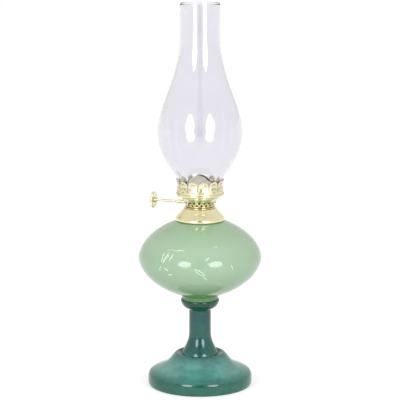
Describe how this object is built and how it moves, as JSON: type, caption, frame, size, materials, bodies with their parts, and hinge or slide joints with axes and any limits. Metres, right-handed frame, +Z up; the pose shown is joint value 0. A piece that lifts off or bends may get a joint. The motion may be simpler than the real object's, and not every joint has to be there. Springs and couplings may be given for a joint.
{
  "type": "oil lamp",
  "caption": "Flat-wick paraffin table lamp: hollow glass pedestal, glass oil font, screw-in brass burner with wick raiser and pierced crown, lift-off glass chimney.",
  "frame": {"origin": "centre of the round foot, on the table", "axes": "+Z up along the lamp's axis; the wick spindle lies along X with its knob at -X; the flat wick's wide faces look along Y"},
  "size_m": [0.1342, 0.1342, 0.42],
  "materials": {
    "glass_teal": "fire-polished pressed glass, blue-green, hardly translucent",
    "glass_green": "blown glass, pale milky green, cut with a small leaf sprig",
    "glass_clear": "clear blown glass",
    "brass_polished": "polished sheet brass, lightly worn",
    "brass_burner": "plain sheet brass, warmed dull",
    "brass_knob": "turned and knurled brass",
    "steel_spindle": "drawn wire",
    "plaster": "set plaster of Paris",
    "seal_rubber": "matte, bonded cork and rubber",
    "cotton": "flat woven cotton"
  },
  "bodies": {
    "stand": {"pedestal": "glass_teal", "peg_cement": "plaster", "font": "glass_green", "font_collar": "brass_polished", "collar_cement": "plaster"},
    "seal": {"seal_ring": "seal_rubber"},
    "burner": {"burner_base": "brass_polished", "base_plate": "brass_burner", "wick_tube": "brass_burner", "vent_tube": "brass_burner", "raiser_housing": "brass_burner", "spindle_sleeve": "brass_burner", "air_basket": "brass_polished", "gallery_ring": "brass_polished", "gallery_crown": "brass_polished", "flame_dome": "brass_burner"},
    "raiser": {"spindle": "steel_spindle", "wick_wheels": "steel_spindle", "knob_disc": "brass_knob", "knob_hub": "brass_knob"},
    "wick": {"wick": "cotton"},
    "chimney": {"chimney": "glass_clear"}
  },
  "joints": [
    {"name": "burner_rise", "type": "slide", "parent": "stand", "child": "seal", "axis": [0, 0, 1], "range_m": [0, 0.008]},
    {"name": "burner_unscrew", "type": "hinge", "parent": "seal", "child": "burner", "pos_m": [0, 0, 0.198], "axis": [0, 0, 1], "range_deg": [0, 1440]},
    {"name": "knob_turn", "type": "hinge", "parent": "burner", "child": "raiser", "pos_m": [0, -0.0049, 0.2042], "axis": [1, 0, 0], "range_deg": [-128, 144]},
    {"name": "wick_travel", "type": "slide", "parent": "burner", "child": "wick", "axis": [0, 0, 1], "range_m": [-0.008, 0.009]},
    {"name": "chimney_lift", "type": "slide", "parent": "burner", "child": "chimney", "axis": [0, 0, 1], "range_m": [0, 0.04]}
  ],
  "couplings": [
    {"joint": "burner_rise", "follows": "burner_unscrew", "m_per_rad": 0.00031831},
    {"joint": "knob_turn", "follows": "wick_travel", "rad_per_m": 277.78}
  ]
}
